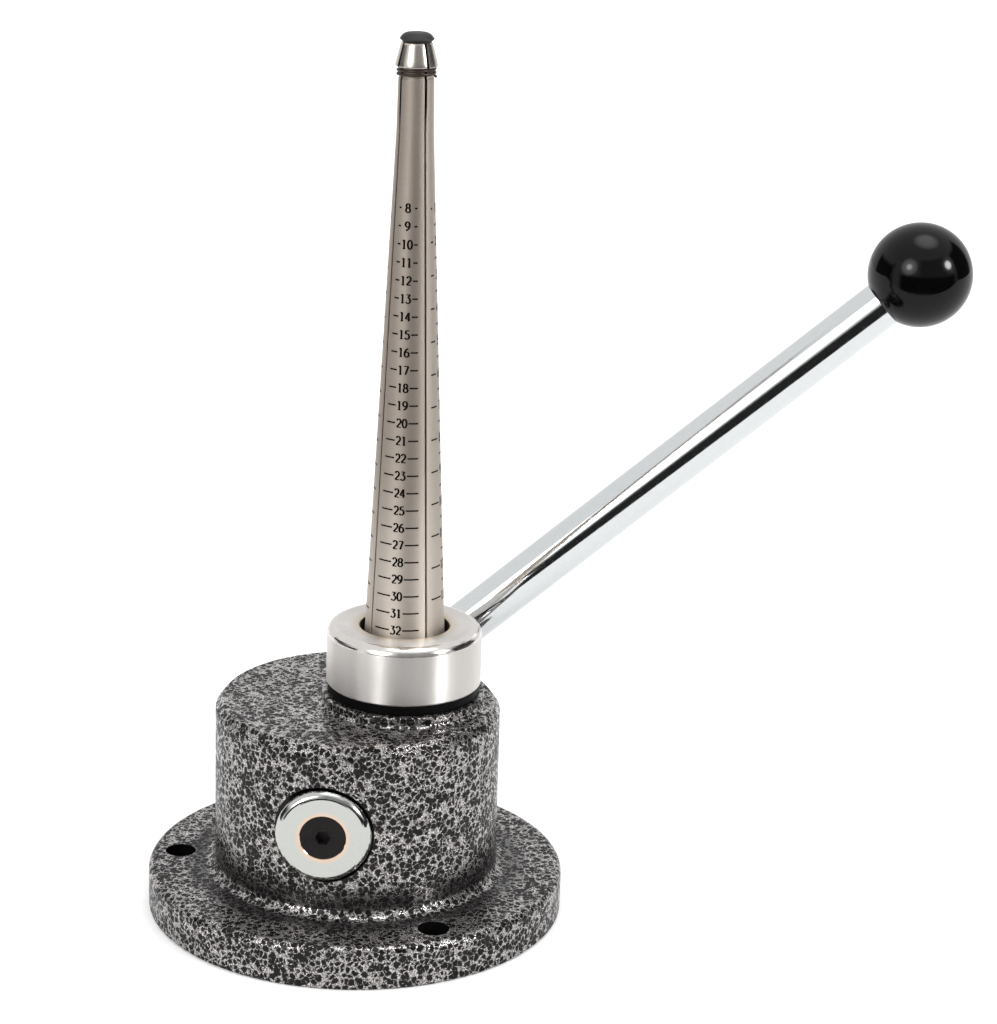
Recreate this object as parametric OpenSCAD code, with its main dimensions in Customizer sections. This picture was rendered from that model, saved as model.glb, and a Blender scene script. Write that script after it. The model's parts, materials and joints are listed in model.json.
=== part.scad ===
// Bench ring stretcher: a split, tapered mandrel on a round cast base. A lever turns a pinion,
// the pinion lifts a rack bar, and the tapered core on the bar spreads the mandrel's four segments.
//
// Frame: millimetres, +Z up. The origin is the centre of the flange's underside, on the bench.
// The pinion shaft runs along Y, its washer faces -Y, and the lever swings behind the drum.
// All pieces stand as at rest: lever down on its stop, rack bar at its lowest, mandrel closed.

/* [Base] */
// Diameter of the round bench flange
flange_d = 125; // [123:1:130]
// Thickness of the bench flange
flange_h = 13; // [12:0.5:14]
// Diameter of the upright drum
drum_d = 85; // [84:0.5:86]
// Height of the drum's top face above the bench
drum_top = 65.5; // [65.5:0.1:66]
// Pitch circle of the three bench bolt holes
bolt_pcd = 107; // [105:0.5:108]
// Diameter of each bench bolt hole
bolt_d = 9; // [6:0.5:10]
// Diameter of the low boss under the collar
boss_d = 48.4; // [47:0.1:50]

/* [Collar] */
// Outer diameter of the retaining collar
collar_d = 46; // [45:0.5:46.5]
// Height of the retaining collar
collar_h = 17.7; // [17.5:0.1:18.5]
// Diameter of the hole that the mandrel stands in
collar_bore_d = 26.5; // [26:0.1:27.5]

/* [Mandrel] */
// Distance of the mandrel's axis to the right of the base's axis
mandrel_x = 13.4; // [13.2:0.1:13.6]
// Turn of the front segment, to the left of straight ahead, in degrees
mandrel_turn = 8; // [0:1:20]
// Radius of the scale taper at its foot
taper_foot_r = 11.7; // [11.4:0.1:11.8]
// Radius of the scale taper at its top
taper_top_r = 5.3; // [5.1:0.1:5.4]
// Width of the saw cuts between the segments
slit_w = 0.66; // [0.4:0.02:0.8]
// Radius of the tapered core where the scale taper begins
core_foot_r = 8.5; // [8.3:0.1:8.6]
// Radius that the tapered core loses in each millimetre of height
core_slope = 0.035; // [0.034:0.001:0.036]

/* [Lever] */
// Angle of the lever above the bench at rest
lever_angle = 41.2; // [38:0.1:45]
// Distance from the shaft's axis to the middle of the ball
lever_len = 226; // [200:0.1:250]
// Diameter of the lever's rod
rod_d = 14.5; // [13:0.5:15]
// Diameter of the ball knob
ball_d = 32; // [30:1:36]
// Distance of the lever's swing plane behind the base's axis
lever_y = 60.3; // [59:0.1:62]

/* [Shaft and Pinion] */
// Distance of the pinion shaft to the left of the base's axis
shaft_left = 5.8; // [5.8:0.1:5.9]
// Height of the pinion shaft above the bench
shaft_z = 38.7; // [38.5:0.1:39]
// Diameter of the polished end washer
washer_d = 28; // [26:0.5:28]

/* [Hidden] */
$fn = 96;

eps = 0.01;              // overlap that keeps two joined or cut solids from sharing a face
run = 0.05;              // radial running clearance of a shaft in its hole

// ---- base ----
flange_r = flange_d / 2;
drum_r = drum_d / 2;
edge_r = 2;              // rounding of the flange's upper edge
foot_fillet = 3;         // rounding between the drum and the flange
drum_bevel = [2.2, 2.8]; // width and height of the sloping edge of the drum's top
bevel_soft = 0.35;       // softening of the bevel's two corners
boss_r = boss_d / 2;
boss_h = 3.1;
boss_fillet = 1.3;
plug_r = 14;
plug_z = [0.8, 4.8];

// ---- shaft line, along Y ----
shaft_x = -shaft_left;
journal_r = 8;           // front journal of the pinion shaft
rear_r = 9;              // rear journal, which also carries the lever's hub
pinion_bore_r = 12.5;    // the pinion goes in through this hole from behind
pinion_bore_y = -9;      // inner end of the pinion's hole
pinion_w = 16;
spotface_y = -39.3;      // floor of the round recess under the end washer
spotface_r = washer_d / 2 + 0.6;
front_bush_r = 10.5;
front_bush_end = -12;
washer_y = [-44.3, -39.45];
washer_round = 2.2;
rear_spot_y = 37;        // floor of the recess under the rear bush's flange
rear_flange_r = 15;
rear_bush_y = [20, 43.8];
hub_y = [44, 70];
hub_r = 17;
hub_flat = 16;           // distance of the hub's flat, which the rod stands on
hub_pin_y = 50;
hub_pin_r = 2.5;
shaft_end_y = 69;

// ---- end screw, a countersunk cap screw ----
screw_r = 3;
screw_head_r = 6.6;
screw_len = 20;
socket_af = 4;           // across the flats of the six-sided socket
socket_deep = 2.6;

// ---- lever, along its own axis from the shaft ----
rod_r = rod_d / 2;
ball_r = ball_d / 2;
spigot_r = 5;            // threaded foot of the rod
tip_r = 4;               // threaded tip of the rod, in the ball's insert
tip_len = 12;
insert_r = 6;
insert_len = 14;
ball_flat = lever_len - sqrt(ball_r * ball_r - rod_r * rod_r);   // where the rod meets the ball

// ---- heights on the mandrel's axis ----
bar_r = 11.5;
bar_z = [6.5, 55];
seat_z = 53;             // lower end of the seat's threaded spigot
seat_spigot_r = 15.5;
boss_top = drum_top + boss_h;
neck_r = 22.6;           // black flange that shows under the collar
collar_z = 71.6;
collar_thread_r = 19.4;
platform_z = [74.2, 78]; // plate that the segments' feet slide on
core_clear_r = 10.2;
foot_r = 17;
foot_top = 81.8;
lip_z = foot_top + 0.1;  // underside of the collar's lip, which holds the feet down
collar_top = collar_z + collar_h;
taper_z = [90, 236];     // foot and top of the scale taper
stem_z = 250.9;          // top of the steeper-sided stem under the wire groove
stem_r = 5.05;
wire_groove_r = 4.8;
wire_groove_z = 251.3;
head_z = [254.3, 260.9];
head_foot_r = 6.02;
head_top_r = 4.4;
core_gap = 0.3;          // space between the core and the segments' bores
ring_z = 85;             // height of the spring ring that closes the feet
ring_wire_r = 0.5;
ring_groove = 0.6;

// ---- top cap of the core ----
cap_rim_r = 4.88;
cap_rim_z = 261.85;
cap_top = 263.7;
cap_full = 5;            // how full the dome is: 2 is a plain bowl, more has a flatter top
cap_steps = [1, 0.97, 0.93, 0.88, 0.82, 0.74, 0.62, 0.45, 0.2, 0];   // rings of the dome
cap_gap = 0.12;          // space between the cap's cone and the segments' inner bevel

// ---- tooth form, 20 degree involute; the rack's teeth are a little short, as 14 teeth need ----
teeth = 14;
tooth_module = 1.5;      // pitch diameter for each tooth
lever_travel = 100;      // degrees that the lever swings, from its stop up and over
pitch_r = teeth * tooth_module / 2;
pressure = 20;
base_r = pitch_r * cos(pressure);
outer_r = pitch_r + tooth_module;
root_r = pitch_r - 1.25 * tooth_module;
rack_add = 0.78 * tooth_module;
rack_ded = 1.3 * tooth_module;
backlash = 0.16;
pitch_len = PI * tooth_module;
rack_x = shaft_x + pitch_r;          // pitch line of the rack
rack_teeth_z = [9, 56];

// ---- binding wire ----
wire_r = 0.38;
wire_turns = 2;
wire_pitch = 1.1;
wire_steps = 24;         // rings in each turn
wire_sides = 6;
wire_path_r = wire_groove_r + wire_r + 0.05;
wire_start = 20;         // heading of the first loose end
wire_tail = 1.5;         // straight loose end at each side
wire_z = 251.55;

// Radius of the tapered core, and of the mandrel's outside, at height z
function core_r(z) = core_foot_r + core_slope * (taper_z[0] - z);
function taper_r(z) =
    taper_foot_r + (taper_top_r - taper_foot_r) * (z - taper_z[0]) / (taper_z[1] - taper_z[0]);

// Points of an arc about [cx, cy] from angle a0 to a1
function arc(cx, cy, r, a0, a1, n = 6) =
    [for (i = [0 : n]) let (a = a0 + (a1 - a0) * i / n) [cx + r * cos(a), cy + r * sin(a)]];

// Places a child along the shaft: its z becomes the distance towards the back
module on_shaft(y = 0) translate([shaft_x, y, shaft_z]) rotate([-90, 0, 0]) children();
// Places a child along the lever: its z becomes the distance from the shaft's axis
module on_lever(d = 0)
    translate([shaft_x, lever_y, shaft_z]) rotate([0, 90 - lever_angle, 0]) translate([0, 0, d])
        children();
// Cross pin, or its hole, through the hub and the shaft, square to the lever
module cross_pin(len) on_shaft(hub_pin_y) rotate([0, 90 - lever_angle, 0]) rotate([90, 0, 0])
    cylinder(r = hub_pin_r, h = len, center = true);
// Places a child on the mandrel's axis
module on_mandrel(z = 0) translate([mandrel_x, 0, z]) children();

// ---------------------------------------------------------------- base
module base_casting() color("#4a4848") difference() {
    union() {
        rotate_extrude() polygon(concat(
            [[0, 0], [flange_r - 0.6, 0], [flange_r, 0.6]],
            arc(flange_r - edge_r, flange_h - edge_r, edge_r, 0, 90),
            arc(drum_r + foot_fillet, flange_h + foot_fillet, foot_fillet, -90, -180),
            [[drum_r, drum_top - drum_bevel[1] - bevel_soft],
             [drum_r - bevel_soft / 3, drum_top - drum_bevel[1] + bevel_soft / 3],
             [drum_r - drum_bevel[0] + bevel_soft / 3, drum_top - bevel_soft / 2],
             [drum_r - drum_bevel[0] - bevel_soft, drum_top], [0, drum_top]]));
        on_mandrel() rotate_extrude() polygon(concat(
            [[0, drum_top - 1], [boss_r + boss_fillet, drum_top - 1]],
            arc(boss_r + boss_fillet, drum_top + boss_fillet, boss_fillet, -90, -180, 4),
            arc(boss_r - 0.6, boss_top - 0.6, 0.6, 0, 90, 3),
            [[0, boss_top]]));
    }
    for (a = [-60, 60, 180])
        rotate(a) translate([bolt_pcd / 2, 0, -1]) cylinder(d = bolt_d, h = flange_h + 2);
    on_mandrel(-1) cylinder(r = bar_r + run, h = boss_top + 2);
    on_mandrel(-1) cylinder(r = plug_r, h = 1 + plug_z[1]);
    on_mandrel(seat_z) cylinder(r = seat_spigot_r, h = boss_top);
    on_shaft(pinion_bore_y) cylinder(r = pinion_bore_r, h = drum_r + 20);
    on_shaft(-drum_r - 5) cylinder(r = front_bush_r, h = drum_r + 5 + front_bush_end);
    on_shaft(-drum_r - 5) cylinder(r = journal_r + run, h = drum_r + 10);
    on_shaft(-drum_r - 10) cylinder(r = spotface_r, h = drum_r + 10 + spotface_y);
    on_shaft(rear_spot_y) cylinder(r = rear_flange_r + 0.5, h = drum_r);
}

module bore_plug() color("#2b2b2b")
    on_mandrel(plug_z[0]) cylinder(r = plug_r, h = plug_z[1] - plug_z[0]);

// Black seat: spigot in the base, flange under the collar, thread inside it and a plate on top
module mandrel_seat() color("#1b1b1c") on_mandrel() rotate_extrude() polygon([
    [bar_r + run, seat_z], [seat_spigot_r, seat_z], [seat_spigot_r, boss_top], [neck_r - 0.4, boss_top],
    [neck_r, boss_top + 0.4], [neck_r, collar_z], [collar_thread_r, collar_z],
    [collar_thread_r, platform_z[1]], [core_clear_r, platform_z[1]], [core_clear_r, platform_z[0]],
    [bar_r + run, platform_z[0]]]);

module retaining_collar() color("#d8d6d2") on_mandrel() rotate_extrude() polygon(concat(
    [[collar_thread_r, collar_z], [collar_d / 2 - 0.5, collar_z], [collar_d / 2, collar_z + 0.5]],
    arc(collar_d / 2 - 2.6, collar_top - 2.6, 2.6, 0, 90, 8),
    [[collar_bore_d / 2 + 0.5, collar_top], [collar_bore_d / 2, collar_top - 0.5],
     [collar_bore_d / 2, lip_z], [collar_thread_r, lip_z]]));

// ---------------------------------------------------------------- bushes
module front_bush() color("#b08d57") on_shaft(spotface_y) difference() {
    cylinder(r = front_bush_r, h = front_bush_end - spotface_y);
    translate([0, 0, -1]) cylinder(r = journal_r + run, h = front_bush_end - spotface_y + 2);
}

module rear_bush() color("#b08d57") difference() {
    len = rear_bush_y[1] - rear_bush_y[0];
    union() {
        on_shaft(rear_bush_y[0]) cylinder(r = pinion_bore_r, h = len);
        on_shaft(rear_spot_y) cylinder(r = rear_flange_r, h = rear_bush_y[1] - rear_spot_y);
    }
    on_shaft(rear_bush_y[0] - 1) cylinder(r = rear_r + run, h = len + 2);
}

// ---------------------------------------------------------------- mandrel segments
// Quarter of the split mandrel that faces the given heading, with half a saw cut off each side
module segment(heading) on_mandrel() intersection() {
    rotate_extrude() polygon([
        [core_r(platform_z[1]) + core_gap, platform_z[1]],
        [foot_r, platform_z[1]], [foot_r, foot_top], [taper_r(foot_top), foot_top],
        [taper_r(ring_z), ring_z - ring_wire_r - 0.1],
        [taper_r(ring_z) - ring_groove, ring_z - ring_wire_r - 0.1],
        [taper_r(ring_z) - ring_groove, ring_z + ring_wire_r + 0.1],
        [taper_r(ring_z), ring_z + ring_wire_r + 0.1],
        [taper_foot_r, taper_z[0]], [taper_top_r, taper_z[1]],
        [stem_r, stem_z], [wire_groove_r, wire_groove_z], [wire_groove_r, head_z[0] - 0.1],
        [head_foot_r - 0.25, head_z[0] - 0.1], [head_foot_r, head_z[0] + 0.25],
        [head_foot_r - 0.35, head_z[0] + 1.8], [head_top_r + 0.1, head_z[1] - 0.5],
        [head_top_r - 0.25, head_z[1]],
        [head_z[1] - cap_cone_z + cap_gap, head_z[1]],
        [core_r(seat_bevel_z) + core_gap, seat_bevel_z]]);
    rotate(heading - 45) translate([slit_w / 2, slit_w / 2, platform_z[0]]) cube([30, 30, 200]);
}
// The cap's cone has its sides at 45 degrees, so its radius at height z is z - cap_cone_z
cap_cone_z = cap_rim_z - cap_rim_r;
// Height where the segments' inner bevel meets their bore
seat_bevel_z = (core_foot_r + core_slope * taper_z[0] + core_gap + cap_cone_z - cap_gap) / (1 + core_slope);

front_heading = -90 - mandrel_turn;
module segment_front() color("#a49a90") segment(front_heading);
module segment_right() color("#a49a90") segment(front_heading + 90);
module segment_back() color("#a49a90") segment(front_heading + 180);
module segment_left() color("#a49a90") segment(front_heading + 270);

// ---------------------------------------------------------------- wire and ring round the segments
// Middle line of the binding wire: a straight tail, the turns of a helix, a straight tail
function helix_point(t) = let (a = wire_start + 360 * t)
    [wire_path_r * cos(a), wire_path_r * sin(a), wire_z + wire_pitch * t];
function heading_at(t) = let (a = wire_start + 360 * t) [-sin(a), cos(a), 0];
wire_n = wire_turns * wire_steps;
wire_line = concat(
    [for (k = [2 : -1 : 1]) helix_point(0) - heading_at(0) * wire_tail * k / 2],
    [for (i = [0 : wire_n]) helix_point(i / wire_steps)],
    [for (k = [1 : 2]) helix_point(wire_turns) + heading_at(wire_turns) * wire_tail * k / 2]);
wire_last = len(wire_line) - 1;
function unit(v) = v / norm(v);
function wire_dir(i) = unit(wire_line[min(i + 1, wire_last)] - wire_line[max(i - 1, 0)]);
// One ring of points square to the line at point i
function wire_ring(i) = let (d = wire_dir(i), up = unit([0, 0, 1] - d * d[2]), side = cross(d, up))
    [for (k = [0 : wire_sides - 1]) let (a = 360 * k / wire_sides)
        wire_line[i] + wire_r * (cos(a) * side + sin(a) * up)];
// Least gap between neighbouring turns, measured between points at least half a turn apart
wire_gap = min([for (i = [0 : wire_last]) for (j = [i + wire_steps / 2 : 1 : wire_last])
    norm(wire_line[i] - wire_line[j])]) - 2 * wire_r;

module binding_wire() color("#2e2622") on_mandrel() {
    s = wire_sides;
    skin = [for (i = [0 : wire_last - 1]) for (k = [0 : s - 1]) let (n = (k + 1) % s)
        each [[i * s + k, (i + 1) * s + k, (i + 1) * s + n], [i * s + k, (i + 1) * s + n, i * s + n]]];
    ends = [for (k = [1 : s - 2])
        each [[0, k, k + 1], [wire_last * s, wire_last * s + k + 1, wire_last * s + k]]];
    polyhedron(points = [for (i = [0 : wire_last]) each wire_ring(i)], faces = concat(skin, ends));
}

module foot_spring_ring() color("#3a3a3c") on_mandrel(ring_z) rotate_extrude()
    translate([taper_r(ring_z) - ring_groove + ring_wire_r + run, 0]) circle(r = ring_wire_r, $fn = 24);

// ---------------------------------------------------------------- core and rack bar
core_spigot_r = 5;
core_spigot_z = 40;
module tapered_core() color("#8f8a84") on_mandrel() difference() {
    union() {
        translate([0, 0, bar_z[1]])
            cylinder(r1 = core_r(bar_z[1]), r2 = cap_foot_r, h = cap_foot_z - bar_z[1]);
        translate([0, 0, core_spigot_z]) cylinder(r = core_spigot_r, h = bar_z[1] - core_spigot_z + eps);
        translate([0, 0, cap_foot_z - eps]) cylinder(r = cap_thread_r, h = cap_thread_len + eps);
    }
    translate([0, 0, core_pin_z]) rotate([90, 0, 0]) cylinder(r = core_pin_r, h = 30, center = true);
}
// Height and radius where the cap's cone meets the core's taper
cap_foot_z = (core_foot_r + core_slope * taper_z[0] + cap_cone_z) / (1 + core_slope);
cap_foot_r = cap_foot_z - cap_cone_z;
cap_thread_r = 1.5;
cap_thread_len = 2.6;

module core_cap() color("#2a2a2b") on_mandrel() rotate_extrude() polygon(concat(
    [[0, cap_foot_z + cap_thread_len], [cap_thread_r, cap_foot_z + cap_thread_len],
     [cap_thread_r, cap_foot_z], [cap_foot_r, cap_foot_z]],
    [for (u = cap_steps) [cap_rim_r * u, cap_top - (cap_top - cap_rim_z) * pow(u, cap_full)]]));

// Cut that leaves the rack's teeth standing on the bar's left side
rack_count = floor((rack_teeth_z[1] - shaft_z) / pitch_len);
rack_low = floor((shaft_z - rack_teeth_z[0]) / pitch_len);
rack_foot_z = shaft_z - (rack_low + 0.5) * pitch_len - 3;
rack_cut = concat(
    [[-20, rack_foot_z], [rack_x - rack_add, rack_foot_z]],
    [for (i = [-rack_low : rack_count]) let (
            z = shaft_z + i * pitch_len,
            mouth = pitch_len / 4 + backlash / 2 + rack_add * tan(pressure),
            floor_half = pitch_len / 4 + backlash / 2 - rack_ded * tan(pressure))
        each [[rack_x - rack_add, z - mouth], [rack_x + rack_ded, z - floor_half],
              [rack_x + rack_ded, z + floor_half], [rack_x - rack_add, z + mouth]]],
    [[rack_x - rack_add, bar_z[1] + 5], [-20, bar_z[1] + 5]]);
core_pin_z = 47;
core_pin_r = 1.5;
module rack_bar() color("#77726c") difference() {
    on_mandrel(bar_z[0]) cylinder(r = bar_r, h = bar_z[1] - bar_z[0]);
    rotate([90, 0, 0]) linear_extrude(height = 40, center = true) polygon(rack_cut);
    on_mandrel(core_spigot_z) cylinder(r = core_spigot_r, h = 30);
    on_mandrel(core_pin_z) rotate([90, 0, 0]) cylinder(r = core_pin_r, h = 30, center = true);
}

module core_pin() color("#55514c") on_mandrel(core_pin_z) rotate([90, 0, 0])
    cylinder(r = core_pin_r, h = 2 * (bar_r - 0.8), center = true);

// ---------------------------------------------------------------- shaft, washer and screw
// Angle that an involute has turned through at radius r, in degrees
function inv_angle(r) = let (a = acos(min(1, base_r / r))) tan(a) * 180 / PI - a;
flank_n = 4;
tooth_half = 90 / teeth - backlash / pitch_r * 90 / PI;   // half a tooth on the pitch circle
function flank(r) = tooth_half + inv_angle(pitch_r) - inv_angle(r);
function polar(r, a) = [r * cos(a), r * sin(a)];
flank_r = [for (i = [0 : flank_n]) base_r + (outer_r - base_r) * i / flank_n];
pinion_outline = [for (t = [0 : teeth - 1]) let (mid = 360 * t / teeth) each concat(
    [polar(root_r, mid - flank(base_r) - 1)],
    [for (r = flank_r) polar(r, mid - flank(r))],
    [for (i = [flank_n : -1 : 0]) polar(flank_r[i], mid + flank(flank_r[i]))],
    [polar(root_r, mid + flank(base_r) + 1)])];

module pinion_shaft() color("#8a8782") difference() {
    union() {
        on_shaft(washer_y[1]) cylinder(r = journal_r, h = shaft_end_y - washer_y[1]);
        on_shaft(pinion_w / 2 - eps) cylinder(r = rear_r, h = shaft_end_y - pinion_w / 2 + eps);
        on_shaft(-pinion_w / 2) linear_extrude(height = pinion_w) polygon(pinion_outline);
    }
    on_shaft(washer_y[0]) cylinder(r = screw_r, h = screw_len + 1);
    cross_pin(60);
}

module end_washer() color("#e2e2de") on_shaft() rotate_extrude() polygon(concat(
    [[screw_r + 0.2, washer_y[1]], [screw_r + 0.2, washer_y[0] + screw_head_r - screw_r],
     [screw_head_r + 0.2, washer_y[0]]],
    arc(washer_d / 2 - washer_round, washer_y[0] + washer_round, washer_round, -90, 0, 8),
    [[washer_d / 2, washer_y[1] - 0.3], [washer_d / 2 - 0.3, washer_y[1]]]));

module end_screw() color("#232324") on_shaft(washer_y[0]) difference() {
    union() {
        translate([0, 0, 0.15]) cylinder(r1 = screw_head_r, r2 = screw_r, h = screw_head_r - screw_r);
        cylinder(r = screw_r, h = screw_len);
    }
    translate([0, 0, -eps]) cylinder(d = socket_af / cos(30), h = socket_deep, $fn = 6);
}

// ---------------------------------------------------------------- lever
module lever_hub() color("#3c3b3a") difference() {
    on_shaft(hub_y[0]) cylinder(r = hub_r, h = hub_y[1] - hub_y[0]);
    on_shaft(hub_y[0] - 1) cylinder(r = rear_r, h = hub_y[1] - hub_y[0] + 2);
    on_lever(hub_flat) cylinder(r = 14, h = 10);
    on_lever(0) cylinder(r = spigot_r, h = 30);
    cross_pin(60);
}
module hub_pin() color("#6b6863") cross_pin(2 * hub_r - 1);

module lever_rod() color("#dcdfe2") union() {
    on_lever(rear_r + 0.3) cylinder(r = spigot_r, h = hub_flat - rear_r);
    on_lever(hub_flat) cylinder(r = rod_r, h = ball_flat - hub_flat);
    on_lever(ball_flat - eps) cylinder(r = tip_r, h = tip_len + eps);
}

module ball_knob() color("#141415") difference() {
    on_lever(lever_len) sphere(r = ball_r);
    on_lever(ball_flat - 10) cylinder(r = 12, h = 10);
    on_lever(ball_flat - 1) cylinder(r = insert_r, h = insert_len + 1);
}

module knob_insert() color("#b5924c") difference() {
    on_lever(ball_flat) cylinder(r = insert_r, h = insert_len);
    on_lever(ball_flat - 1) cylinder(r = tip_r, h = tip_len + 1);
}

core_travel = pitch_r * lever_travel * PI / 180;
echo(wire_gap_mm = wire_gap, core_travel_mm = core_travel, spread_each_mm = core_slope * core_travel);

base_casting();
bore_plug();
mandrel_seat();
retaining_collar();
front_bush();
rear_bush();
segment_front();
segment_right();
segment_back();
segment_left();
binding_wire();
foot_spring_ring();
tapered_core();
core_cap();
rack_bar();
core_pin();
pinion_shaft();
end_washer();
end_screw();
lever_hub();
hub_pin();
lever_rod();
ball_knob();
knob_insert();
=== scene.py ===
"""Looks of the bench ring stretcher: camera, studio, materials and surface detail on the CAD frame."""
import json
import math

import bpy
from mathutils import Matrix, Vector


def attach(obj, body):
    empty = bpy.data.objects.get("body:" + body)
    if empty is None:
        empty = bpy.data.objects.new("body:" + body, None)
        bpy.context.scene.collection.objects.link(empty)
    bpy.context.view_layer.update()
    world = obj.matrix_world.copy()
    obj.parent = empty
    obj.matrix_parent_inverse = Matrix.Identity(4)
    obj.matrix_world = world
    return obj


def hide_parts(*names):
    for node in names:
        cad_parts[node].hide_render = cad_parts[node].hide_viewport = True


MM = 0.001
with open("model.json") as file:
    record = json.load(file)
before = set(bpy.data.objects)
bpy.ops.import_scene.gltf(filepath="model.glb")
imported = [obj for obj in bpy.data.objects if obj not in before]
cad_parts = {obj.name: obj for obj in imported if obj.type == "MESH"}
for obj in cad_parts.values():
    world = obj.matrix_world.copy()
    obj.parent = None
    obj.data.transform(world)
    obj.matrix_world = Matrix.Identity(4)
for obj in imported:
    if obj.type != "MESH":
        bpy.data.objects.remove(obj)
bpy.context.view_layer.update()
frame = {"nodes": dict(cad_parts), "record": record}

# ------------------------------------------------------------------ camera
# Pixels count in the photograph's frame.
FRAME_W, FRAME_H = 997, 1024
FOCAL_PX = 2815.9                 # focal length
ORIGIN_PX = (355.07, 897.16)      # where the middle of the flange's underside shows
CAM_DIST = 0.86098                # distance of that point along the line of sight
CAM_ELEV = math.radians(17.18)
CAM_AZIM = math.radians(2.0)      # the object is seen a little from its right
CAM_ROLL = math.radians(1.8)


def make_camera():
    """Perspective camera fitted to the outlines of the base, drum, collar, mandrel and lever."""
    side = (ORIGIN_PX[0] - FRAME_W / 2) / FOCAL_PX * CAM_DIST
    down = (ORIGIN_PX[1] - FRAME_H / 2) / FOCAL_PX * CAM_DIST
    level = Matrix((
        (1, 0, 0),
        (0, -math.sin(CAM_ELEV), -math.cos(CAM_ELEV)),
        (0, math.cos(CAM_ELEV), -math.sin(CAM_ELEV)),
    ))
    to_view = Matrix.Rotation(CAM_ROLL, 3, "Z") @ level @ Matrix.Rotation(-CAM_AZIM, 3, "Z")
    back = to_view.transposed()
    place = -(back @ Vector((side, down, CAM_DIST)))
    right, lower, ahead = (back @ Vector(v) for v in ((1, 0, 0), (0, 1, 0), (0, 0, 1)))
    data = bpy.data.cameras.new("camera")
    data.sensor_fit = "VERTICAL"
    data.sensor_height = 36
    data.lens = data.sensor_height * FOCAL_PX / FRAME_H
    data.clip_start, data.clip_end = 0.01, 20
    camera = bpy.data.objects.new("camera", data)
    camera.matrix_world = Matrix((
        (right.x, -lower.x, -ahead.x, place.x),
        (right.y, -lower.y, -ahead.y, place.y),
        (right.z, -lower.z, -ahead.z, place.z),
        (0, 0, 0, 1),
    ))
    bpy.context.collection.objects.link(camera)
    bpy.context.scene.camera = camera


make_camera()
bpy.context.scene.view_settings.view_transform = "Standard"


# ------------------------------------------------------------------ shader helper
class Graph:
    """Short way to write a node tree: each call adds one node and returns an output socket."""

    def __init__(self, tree):
        self.tree = tree
        tree.nodes.clear()

    def node(self, kind, values=None, **settings):
        node = self.tree.nodes.new(kind)
        for key, value in settings.items():
            setattr(node, key, value)
        for key, value in (values or {}).items():
            if isinstance(value, bpy.types.NodeSocket):
                self.tree.links.new(value, node.inputs[key])
            else:
                node.inputs[key].default_value = value
        return node

    def place(self):
        """Point on the object, in metres."""
        return self.node("ShaderNodeTexCoord").outputs["Object"]

    def math(self, operation, a, b=0.0):
        return self.node("ShaderNodeMath", {0: a, 1: b}, operation=operation).outputs[0]

    def vector(self, operation, a, b=(0, 0, 0)):
        node = self.node("ShaderNodeVectorMath", {0: a, 1: b}, operation=operation)
        return node.outputs["Value" if operation in ("LENGTH", "DOT_PRODUCT") else "Vector"]

    def part(self, vector, axis):
        return self.node("ShaderNodeSeparateXYZ", {0: vector}).outputs[axis]

    def ease(self, value, low, high, to_low=0.0, to_high=1.0, soft=True):
        """Maps low..high to to_low..to_high, with soft ends if asked."""
        node = self.node("ShaderNodeMapRange",
                         {"Value": value, "From Min": low, "From Max": high,
                          "To Min": to_low, "To Max": to_high},
                         interpolation_type="SMOOTHSTEP" if soft else "LINEAR")
        return node.outputs[0]

    def mix(self, factor, a, b, blend="MIX"):
        node = self.node("ShaderNodeMix", {0: factor, 6: a, 7: b}, data_type="RGBA", blend_type=blend)
        return node.outputs[2]

    def noise(self, vector, scale, detail=2.0, rough=0.5):
        node = self.node("ShaderNodeTexNoise",
                         {"Vector": vector, "Scale": scale, "Detail": detail, "Roughness": rough})
        return node.outputs["Fac"]

    def noise_colour(self, vector, scale):
        node = self.node("ShaderNodeTexNoise", {"Vector": vector, "Scale": scale, "Detail": 2.0})
        return node.outputs["Color"]

    def cells(self, vector, scale, feature="F1", output="Distance"):
        node = self.node("ShaderNodeTexVoronoi", {"Vector": vector, "Scale": scale}, feature=feature)
        return node.outputs[output]

    def bump(self, height, depth, strength, normal=None):
        values = {"Height": height, "Distance": depth, "Strength": strength}
        if normal is not None:
            values["Normal"] = normal
        return self.node("ShaderNodeBump", values).outputs[0]

    def surface(self, **values):
        """Principled surface as the output; underscores in a name stand for spaces."""
        named = {key.replace("_", " "): value for key, value in values.items()}
        shader = self.node("ShaderNodeBsdfPrincipled", named)
        self.node("ShaderNodeOutputMaterial", {"Surface": shader.outputs[0]})


def material(name):
    mat = bpy.data.materials.new("look_" + name)
    mat.use_nodes = True
    return mat, Graph(mat.node_tree)


def grey(value):
    return (value, value, value, 1.0)


# ------------------------------------------------------------------ studio
# Headings count from straight ahead of the object (-Y) towards its right (+X), in degrees.
FLOOR_FRONT, FLOOR_BACK = -0.24, 3.0  # edges of the white table, which ends before the camera
FLOOR_SIDE = 2.5
FLOOR_DROP = 0.0001               # kept just under the flange
FLOOR_GLOW = 0.25                 # for the camera alone, so that the table reads as white
ROOM_LIGHT = 0.86                 # white walls and ceiling
STRIP_HALF = (0.016, 0.008)       # a strip begins and is full this far from its middle line
STRIP_END = 0.02                  # how softly a strip ends


def heading_vector(heading, height):
    """Unit vector towards a heading and a height, both in degrees."""
    a, h = math.radians(heading), math.radians(height)
    return (math.sin(a) * math.cos(h), -math.cos(a) * math.cos(h), math.sin(h))


def spot(g, way, heading, height, inner, outer):
    """1 within the inner angle of a direction, falling softly to 0 at the outer angle."""
    near = g.vector("DOT_PRODUCT", way, heading_vector(heading, height))
    return g.ease(near, math.cos(math.radians(outer)), math.cos(math.radians(inner)))


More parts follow.
